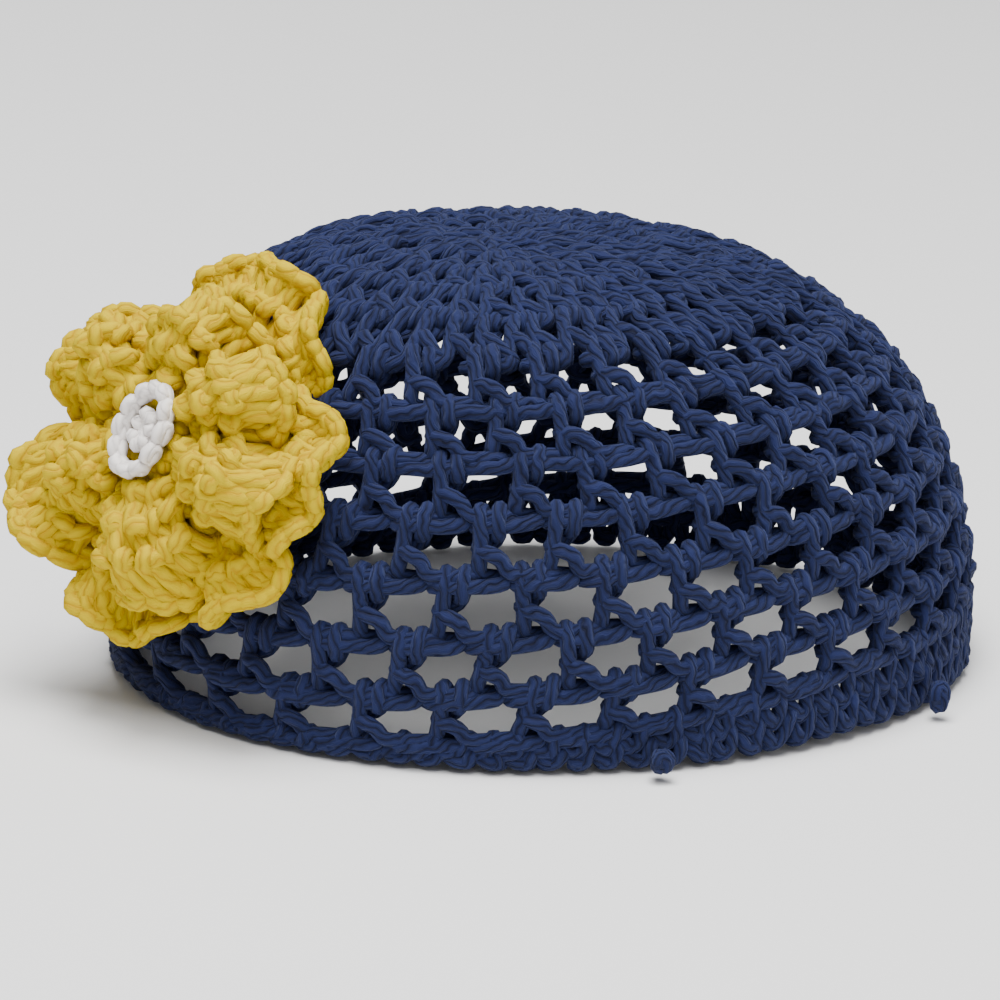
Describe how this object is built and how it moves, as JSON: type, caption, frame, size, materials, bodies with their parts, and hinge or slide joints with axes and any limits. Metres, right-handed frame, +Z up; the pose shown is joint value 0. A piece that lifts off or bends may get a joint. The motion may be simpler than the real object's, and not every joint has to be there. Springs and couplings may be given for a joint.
{
  "type": "crochet beanie",
  "caption": "Open-mesh crochet beanie in navy yarn with a dense crown, a closed hem and a large ruffled yellow flower with a white centre at the front.",
  "frame": {"origin": "on the ground under the middle of the box that holds the hat and its flower", "axes": "+Z up out of the crown, -Y where the wearer faces, +X towards the wearer's left; the flower is at the front, a little to the wearer's left"},
  "size_m": [0.1634, 0.2216, 0.0966],
  "materials": {
    "navy_yarn": "matte cotton-like yarn in loose plies",
    "yellow_yarn": "soft fuzzy acrylic yarn",
    "white_yarn": "soft off-white yarn"
  },
  "bodies": {
    "root": {"crown": "navy_yarn", "mesh_body": "navy_yarn", "hem_band": "navy_yarn", "hem_knot": "navy_yarn", "hem_tail": "navy_yarn", "flower_outer_petals": "yellow_yarn", "flower_inner_petals": "yellow_yarn", "flower_centre": "white_yarn"}
  },
  "joints": []
}
